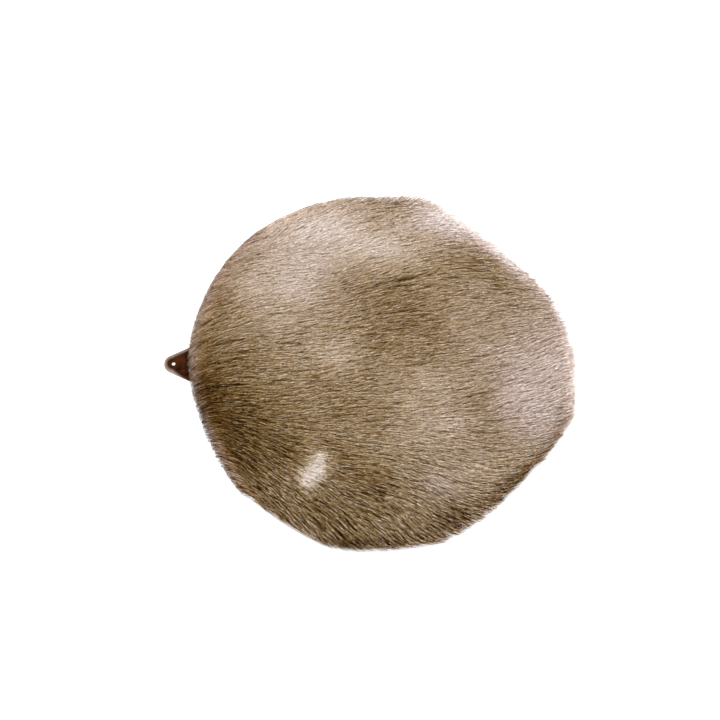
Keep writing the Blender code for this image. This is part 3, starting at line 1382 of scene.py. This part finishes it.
    def overhanging(self, points: np.ndarray) -> np.ndarray:
        """1 where hair bulges over a rim that its tips do not cover, 0 where they do or the cut shows."""
        bare = self.cut.bareness(self.cut.hide.bearing(points - self.cut.hide.middle))
        return (1 - self.leaving(points).clip(0.0, 1.0)) * (1 - bare)

    def stretch(self, roots: np.ndarray, luck: np.ndarray) -> np.ndarray:
        """How much longer the hairs of tufts and the loose hairs along the tip side grow.

        Args:
            roots: The hairs' roots.
            luck: For each hair, how far it spills past the outline, in widths of the fringe.

        Returns:
            The share of its kind's length for each hair.
        """
        fringe = self.leaving(roots).clip(0.0, 1.0) * (self.cut.depth(roots) < self.wisp_depth)
        bearings = np.degrees(self.cut.hide.bearing(roots - self.cut.hide.middle))
        more = self.wisp * luck
        for bearing, width, extra in self.tufts:
            more = more + extra * np.exp(-((((bearings - bearing + 180) % 360 - 180) / width) ** 2))
        return 1 + fringe * more

    def spill_limit(self, bearings: np.ndarray, luck: np.ndarray) -> np.ndarray:
        """How far from the middle a hair may reach.

        Args:
            bearings: Bearings from the middle.
            luck: For each hair, how far it spills past the outline, in widths of the fringe.

        Returns:
            The farthest distance for each hair.
        """
        dense, loose = (round_rim(self.spill, bearings, column) for column in (1, 2))
        bare = self.cut.bareness(bearings) * self.bare_margin
        return self.cut.hide.reach(bearings) + dense + loose * luck - bare

    def hold_in(self, points: np.ndarray, luck: np.ndarray) -> np.ndarray:
        """Keeps hairs within the outline and its fringe by laying them along the rim.

        Args:
            points: Places, a row of x and y each.
            luck: For each hair, how far it spills past the outline, in widths of the fringe.

        Returns:
            The places, drawn in where they lay too far out.
        """
        offsets = points - self.cut.hide.middle
        distance = np.hypot(offsets[:, 0], offsets[:, 1])
        limit = self.spill_limit(self.cut.hide.bearing(offsets), luck)
        knee = limit - self.soft_limit
        over = np.clip(distance - knee, 0.0, None)
        held = np.where(over > 0, knee + self.soft_limit * (1 - np.exp(-over / self.soft_limit)), distance)
        return self.cut.hide.middle + offsets * (held / distance.clip(1e-6))[:, None]

    def scatter(self, kind: HairKind, rng: np.random.Generator) -> Scatter:
        """Places every hair of one kind and draws its own unevenness.

        Args:
            kind: The kind of hair.
            rng: The source of its unevenness.

        Returns:
            The hairs' own values.
        """
        roots = self.lock_roots(kind, rng)
        count = len(roots)
        owner = np.repeat(np.arange(count), kind.hairs_per_lock)
        hairs = len(owner)
        spread = self.unevenness
        stray_spread = math.radians(spread.stray_degrees)
        bend_spread = math.radians(spread.bend_degrees)

        def of_lock(size: float) -> np.ndarray:
            """An unevenness shared by the hairs of a lock."""
            return rng.normal(0.0, size, count)[owner]

        def of_hair(size: float) -> np.ndarray:
            """An unevenness of each hair."""
            return rng.normal(0.0, size, hairs)

        around = rng.uniform(0.0, math.tau, hairs)
        far = np.sqrt(rng.uniform(0.0, 1.0, hairs))
        aside = unit(around) * far[:, None]
        root = roots[owner] + aside * kind.root_spread
        gather = aside * (kind.tip_spread - kind.root_spread)
        gather += rng.normal(0.0, kind.tip_spread * spread.tip_place, (hairs, 2))
        length = kind.length * (1 + of_lock(spread.lock_length)) * (1 + of_hair(spread.hair_length))
        reach = rng.uniform(kind.low_reach, kind.high_reach, count)[owner]
        reach = reach * (1 + of_hair(spread.hair_reach))
        stray = of_lock(stray_spread) + of_hair(stray_spread)
        bend = of_lock(bend_spread) + of_hair(bend_spread)
        luck = spread.lock_luck * np.abs(of_lock(1.0))
        luck += np.clip(rng.uniform(0.0, 1.0, hairs) / spread.lucky_width - spread.lucky_from, 0.0, 1.0)
        tone = of_lock(kind.lock_tone) + of_hair(kind.hair_tone)
        cool = of_lock(spread.lock_cool)
        slip = of_lock(spread.slip)
        near_rim = self.overhanging(root) * np.clip(1 - self.cut.depth(root) / self.rim_band, 0.0, 1.0)
        push = self.rim_push * kind.bulge * near_rim * rng.uniform(spread.low_push, 1.0, hairs)
        return Scatter(
            root=root,
            gather=gather,
            length=length * self.stretch(root, luck),
            reach=reach,
            stray=stray,
            bend=bend,
            luck=luck,
            tone=tone,
            cool=cool,
            slip=slip,
            near_rim=near_rim,
            push=push,
            upstream=self.upstream(roots)[owner],
        )

    def grow(self, kind: HairKind, rng: np.random.Generator) -> Locks:
        """Lays and colours every hair of one kind.

        Args:
            kind: The kind of hair.
            rng: The source of its unevenness.

        Returns:
            The hairs.
        """
        own = self.scatter(kind, rng)
        hairs = len(own.root)
        levels = kind.rings + 2
        run = np.linspace(0.0, 1.0, levels) ** kind.evenness
        spines = np.zeros((hairs, levels, 3))
        tone = np.zeros((hairs, levels))
        cool = np.zeros((hairs, levels))
        floor = self.skin.lift(own.root) + self.skin.thickness - self.root_depth
        outward = self.cut.outward(own.root)
        slow_start = 1 + self.rim_delay * own.near_rim
        here = own.root
        for i, share in enumerate(run):
            turn = self.lie_at(here) + own.stray + own.bend * (share - 0.5)
            way = unit(turn)
            if i:
                step = share**slow_start - run[i - 1] ** slow_start
                here = here + way * (own.length * step * (self.start_run + self.tip_run * share))[:, None]
            bulge = own.push * math.sin(math.pi * share**self.bulge_power)
            place = here + own.gather * share + outward * bulge[:, None]
            if i:
                place = self.hold_in(place, own.luck)
            streak = self.streaks.at(place, turn)
            parting = np.clip(-self.parting_lines.at(place, turn) - self.parting_from, 0.0, self.parting_most)
            patch_tone, patch_cool, pressed = self.markings.at(place + way * own.slip[:, None])
            top = self.cut.hide.hair_height(place) * (1 - pressed)
            rise = (1 - (1 - share) ** self.rise_power) * own.reach
            height = floor + (top - floor) * rise + kind.ridge * (streak - parting) * share
            spines[:, i, :2] = place
            spines[:, i, 2] = np.maximum(height, self.least_height) if i else floor
            tone[:, i] = patch_tone + kind.tone_root * (1 - share) ** 2 + kind.tone_tip * share**2
            cool[:, i] = patch_cool
            self.tint_rim(place, own.upstream, tone[:, i], cool[:, i])
            # painted shade: hair along the parting lines is darkened
            uneven = kind.streak * streak + own.tone - self.parting_shade * parting
            tone[:, i] = self.contrast.apply(tone[:, i], uneven, place[:, 1])
            cool[:, i] += own.cool
        return Locks(spines, tone, cool)

    def tint_rim(
        self, points: np.ndarray, upstream: np.ndarray, tone: np.ndarray, cool: np.ndarray
    ) -> None:
        """Tints hair near the rim: greyish roots upstream, shade where the coat rolls under, pale tips.

        Args:
            points: Places, a row of x and y each.
            upstream: How far each hair's roots show.
            tone: The tone at each place, changed here.
            cool: The coolness at each place, changed here.
        """
        bearings, depth = self.cut.hide.from_rim(points)
        inside = depth.clip(0.0)
        band = self.root_least + self.root_band * upstream
        roots = self.root_tint * upstream * np.exp(-((inside / band) ** 4))
        tone += (self.root_tone - tone) * roots
        cool += (self.root_cool - cool) * roots
        cool += self.rim_cool * np.exp(-((inside / self.root_band) ** 2))
        falloff = np.exp(-(((inside - self.shade_inset) / self.shade_band) ** 2))
        shade = round_rim(self.shade, bearings) * falloff
        tone += shade
        cool += self.shade_warmth * shade
        loose = np.clip(-depth / self.spill_run, 0.0, 1.0)
        tone += self.spill_fade * loose
        cool += self.spill_cool * loose

    def draw(
        self, name: str, kind: HairKind, locks: Locks, material: bpy.types.Material
    ) -> bpy.types.Object:
        """Joins hairs into one piece.

        Args:
            name: The piece's name.
            kind: The kind of hair.
            locks: The hairs.
            material: The hair's material.

        Returns:
            The piece.
        """
        strand = Strand(kind.rings)
        hairs, levels = locks.tone.shape
        forward = locks.spines[:, 1:] - locks.spines[:, :-1]
        along = np.concatenate([forward[:, :1], forward], axis=1)
        along /= np.linalg.norm(along, axis=2, keepdims=True)
        side = np.stack([-along[..., 1], along[..., 0], np.zeros_like(along[..., 0])], axis=2)
        side /= np.linalg.norm(side, axis=2, keepdims=True)
        up = np.cross(along, side)
        run = np.linspace(0.0, 1.0, levels) ** kind.evenness
        taper = 1 - self.tip_taper * (run - 0.5).clip(0.0)
        radius = kind.width / 2 * np.where((run > 0) & (run < 1), taper, 0.0)
        level = strand.level
        verts = (
            locks.spines[:, level]
            + side[:, level] * (radius[level] * strand.side)[None, :, None]
            + up[:, level] * (radius[level] * strand.up)[None, :, None]
        )
        corners = (strand.faces[None] + np.arange(hairs)[:, None, None] * len(level)).ravel()
        tone = locks.tone[:, level] + (self.palette_jitter * strand.side)[None]
        cool = locks.cool[:, level] + (self.palette_jitter * strand.up)[None]
        palette = np.stack([tone, cool], axis=2).clip(self.palette_end, 1 - self.palette_end).reshape(-1, 2)
        mesh = bpy.data.meshes.new(name)
        mesh.vertices.add(hairs * len(level))
        mesh.vertices.foreach_set("co", verts.reshape(-1).astype(np.float32))
        mesh.loops.add(len(corners))
        mesh.loops.foreach_set("vertex_index", corners.astype(np.int32))
        mesh.polygons.add(len(corners) // 3)
        mesh.polygons.foreach_set("loop_start", np.arange(0, len(corners), 3, dtype=np.int32))
        mesh.update(calc_edges=True)
        layer = mesh.uv_layers.new(name=PALETTE_MAP)
        layer.uv.foreach_set("vector", palette[corners].reshape(-1).astype(np.float32))
        mesh.shade_smooth()
        mesh.materials.append(material)
        piece = bpy.data.objects.new(name, mesh)
        bpy.context.scene.collection.objects.link(piece)
        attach(piece, ROOT_BODY)
        return piece

    def build(self, finish: HairFinish) -> list[bpy.types.Object]:
        """Grows every kind of hair.

        Args:
            finish: The coat's colours.

        Returns:
            The pieces.
        """
        material = hair_material(finish)
        pieces = []
        for order, hair in enumerate(Hair):
            kind = hair.value
            grown = self.grow(kind, np.random.default_rng(SEED + order))
            lock = np.arange(len(grown.tone)) // kind.hairs_per_lock
            for part in range(kind.pieces):
                chosen = lock % kind.pieces == part
                locks = Locks(grown.spines[chosen], grown.tone[chosen], grown.cool[chosen])
                piece = self.draw(f"{kind.label}_{part + 1}", kind, locks, material)
                triangles = len(piece.data.polygons)
                log.info("%s: %d hairs, %d triangles", piece.name, len(locks.tone), triangles)
                pieces.append(piece)
        return pieces


# ----------------------------------------------------------------------------------------------------- tab


@dataclass
class HangingTab:
    """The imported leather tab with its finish, and the saddle stitches that hold its tongue."""

    finish: LeatherFinish = field(default_factory=LeatherFinish)
    thread: ThreadFinish = field(default_factory=ThreadFinish)
    stitch_length: float = 0.0034
    stitch_gap: float = 0.0012
    thread_radius: float = 0.00042
    sink: float = 0.45
    edge_inset: float = 0.0035
    tongue_length: float = 0.0170

    def dress(self) -> None:
        """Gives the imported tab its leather."""
        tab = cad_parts[TAB_NODE]
        low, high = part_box(TAB_NODE)
        material = leather_material(self.finish, (low[0] + self.finish.tip_radius, (low[1] + high[1]) / 2))
        if not tab.material_slots:
            tab.data.materials.append(material)
        tab.material_slots[0].link = "OBJECT"
        tab.material_slots[0].material = material

    def seam(self) -> list[tuple[Vector, Vector]]:
        """Lays out the stitches round three sides of the tongue, on its underside.

        Returns:
            The two ends of each stitch.
        """
        low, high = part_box(TAB_NODE)
        right = high[0] - self.edge_inset
        left = high[0] - self.tongue_length
        near = low[1] + self.edge_inset
        far = high[1] - self.edge_inset
        outline = ((left, near), (right, near), (right, far), (left, far))
        corners = [Vector((x, y, 0)) for x, y in outline]
        stitches = []
        for start, end in zip(corners, corners[1:]):
            run = end - start
            pitch = self.stitch_length + self.stitch_gap
            count = int(run.length // pitch)
            spare = (run.length - count * pitch + self.stitch_gap) / 2
            for i in range(count):
                begin = start + run.normalized() * (spare + i * pitch)
                stitches.append((begin, begin + run.normalized() * self.stitch_length))
        return stitches

    def sew(self) -> bpy.types.Object:
        """Lays a short plump thread for every stitch.

        Returns:
            The stitches, joined.
        """
        bm = bmesh.new()
        for start, end in self.seam():
            run = end - start
            made = bmesh.ops.create_uvsphere(bm, u_segments=8, v_segments=6, radius=1.0)["verts"]
            shape = Matrix.Diagonal((self.thread_radius, self.thread_radius, run.length / 2, 1.0))
            turn = run.to_track_quat("Z", "Y").to_matrix().to_4x4()
            middle = (start + end) / 2 + Vector((0.0, 0.0, self.thread_radius * self.sink))
            bmesh.ops.transform(bm, matrix=Matrix.Translation(middle) @ turn @ shape, verts=made)
        stitches = show("tab_stitches", bm, thread_material(self.thread))
        stitches.data.shade_smooth()
        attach(stitches, ROOT_BODY)
        return stitches


# -------------------------------------------------------------------------------------------------- studio


@dataclass(frozen=True)
class Softbox:
    """A square area light aimed at the pad: where it stands, how wide and how strong."""

    name: str
    place: tuple[float, float, float]
    width: float
    power: float
    colour: tuple[float, float, float] = (1.0, 1.0, 1.0)


@dataclass
class Studio:
    """Pale floor, soft lights and the camera."""

    floor_width: float = 8.0
    floor_drop: float = 0.0003
    floor_colour: tuple[float, float, float, float] = (0.9, 0.9, 0.9, 1.0)
    floor_roughness: float = 0.9
    floor_glow: float = 0.25
    white: tuple[float, float, float, float] = (1.0, 1.0, 1.0, 1.0)
    elevation: float = 70.0
    distance: float = 1.6
    view_width: float = 0.7387
    aim: tuple[float, float, float] = (-0.0080, 0.0066, 0.0060)
    world_strength: float = 1.0
    softboxes: tuple[Softbox, ...] = (
        Softbox("key_softbox", (0.35, 1.15, 1.55), 1.1, 36.0),
        Softbox("top_softbox", (-0.2, -0.1, 2.0), 1.6, 24.0),
    )

    def floor(self) -> bpy.types.Object:
        """The floor.

        Returns:
            The floor.
        """
        bm = bmesh.new()
        bmesh.ops.create_grid(bm, x_segments=1, y_segments=1, size=self.floor_width / 2)
        bmesh.ops.translate(bm, verts=bm.verts, vec=(0.0, 0.0, -self.floor_drop))
        material, _, shader = new_material("studio_floor")
        set_inputs(shader, {"Base Color": self.floor_colour, "Roughness": self.floor_roughness})
        set_inputs(shader, {"Emission Color": self.white, "Emission Strength": self.floor_glow})
        floor = show("studio_floor", bm, material)
        return floor

    def lights(self) -> None:
        """The white surroundings and the softboxes."""
        world = bpy.data.worlds.new("studio")
        world.use_nodes = True
        background = world.node_tree.nodes["Background"]
        set_inputs(background, {"Color": self.white, "Strength": self.world_strength})
        bpy.context.scene.world = world
        for box in self.softboxes:
            light = bpy.data.lights.new(box.name, "AREA")
            light.size = box.width
            light.energy = box.power
            light.color = box.colour
            lamp = bpy.data.objects.new(box.name, light)
            lamp.location = box.place
            lamp.rotation_euler = (-Vector(box.place)).to_track_quat("-Z", "Y").to_euler()
            bpy.context.scene.collection.objects.link(lamp)

    def camera(self) -> None:
        """The camera, high over the pad's near side."""
        data = bpy.data.cameras.new("camera")
        data.sensor_width = 36.0
        data.lens = data.sensor_width * self.distance / self.view_width
        camera = bpy.data.objects.new("camera", data)
        rise = math.radians(self.elevation)
        back = Vector((0.0, -math.cos(rise), math.sin(rise)))
        camera.location = Vector(self.aim) + back * self.distance
        camera.rotation_euler = (-back).to_track_quat("-Z", "Y").to_euler()
        bpy.context.scene.collection.objects.link(camera)
        bpy.context.scene.camera = camera

    def build(self) -> bpy.types.Object:
        """Sets up the studio.

        Returns:
            The floor.
        """
        bpy.context.scene.view_settings.view_transform = "Standard"
        self.lights()
        self.camera()
        return self.floor()


def main() -> None:
    """Builds the pad and its studio."""
    logging.basicConfig(level=logging.INFO, format="%(name)s: %(message)s")
    floor = Studio().build()
    hide = PackedHide()
    comb = Comb()
    cut = SkinCut(hide, comb)
    skin_maker = Skin(cut)
    skin = skin_maker.build(SkinFinish())
    log.info("skin: %d triangles", sum(len(p.vertices) - 2 for p in skin.data.polygons))
    coat = Coat(cut, skin_maker, comb, Markings(), Streaks()).build(HairFinish())
    tab = HangingTab()
    tab.dress()
    stitches = tab.sew()


if __name__ == "__main__":
    main()
